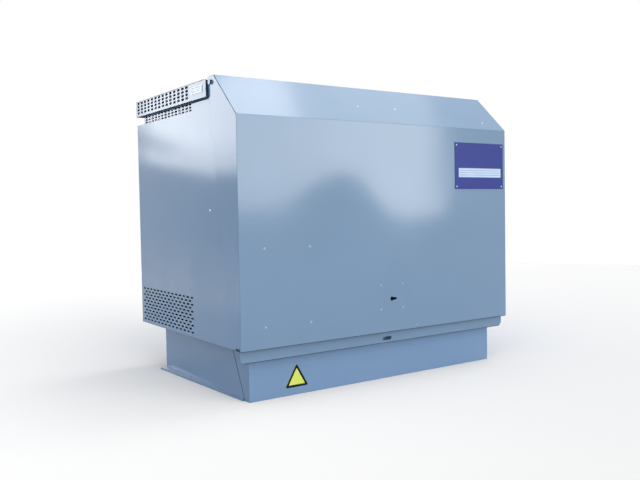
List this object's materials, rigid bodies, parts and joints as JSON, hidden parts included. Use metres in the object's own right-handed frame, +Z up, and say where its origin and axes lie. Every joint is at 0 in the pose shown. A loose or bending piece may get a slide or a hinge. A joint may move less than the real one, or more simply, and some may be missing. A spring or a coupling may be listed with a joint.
{
  "type": "compact substation enclosure",
  "caption": "Low sheet-steel substation enclosure on a recessed plinth, with a top-hung front cover, slotted end walls and a perforated roof skirt.",
  "frame": {"origin": "on the ground, below the middle of the enclosure", "axes": "+X to the right as seen from the front, +Y to the back, +Z up; the cover faces -Y"},
  "size_m": [1.3855, 0.9525, 1.197],
  "materials": {
    "hood_paint": "semi-gloss powder coat, blue-grey",
    "plinth_paint": "semi-gloss powder coat, blue-grey",
    "zinc": "zinc plated",
    "dark_steel": "satin black",
    "blue_plate": "gloss enamel",
    "yellow_plate": "gloss enamel",
    "pale_plate": "satin"
  },
  "bodies": {
    "enclosure": {"left_end_wall": "hood_paint", "right_end_wall": "hood_paint", "rear_wall": "hood_paint", "floor_deck": "zinc", "rear_ledge": "hood_paint", "left_vent_screen": "hood_paint", "right_vent_screen": "hood_paint", "rear_vent_screen": "hood_paint", "roof": "hood_paint", "left_roof_skirt": "hood_paint", "right_roof_skirt": "hood_paint", "rear_roof_skirt": "hood_paint", "rating_plate": "pale_plate", "left_hinge_pin": "zinc", "right_hinge_pin": "zinc", "front_rail": "hood_paint", "apron_front": "plinth_paint", "apron_left_cheek": "plinth_paint", "apron_right_cheek": "plinth_paint", "plinth_left_wall": "plinth_paint", "plinth_right_wall": "plinth_paint", "plinth_rear_wall": "plinth_paint", "left_foot_flange": "plinth_paint", "right_foot_flange": "plinth_paint", "triangle_plate": "yellow_plate"},
    "front_cover": {"cover_front": "hood_paint", "cover_slope": "hood_paint", "cover_left_cheek": "hood_paint", "cover_right_cheek": "hood_paint", "lock_case": "dark_steel", "info_plate": "blue_plate"}
  },
  "joints": [
    {"name": "cover_hinge", "type": "hinge", "parent": "enclosure", "child": "front_cover", "pos_m": [0, -0.2855, 1.174], "axis": [-1, 0, 0], "range_deg": [0, 75]}
  ]
}
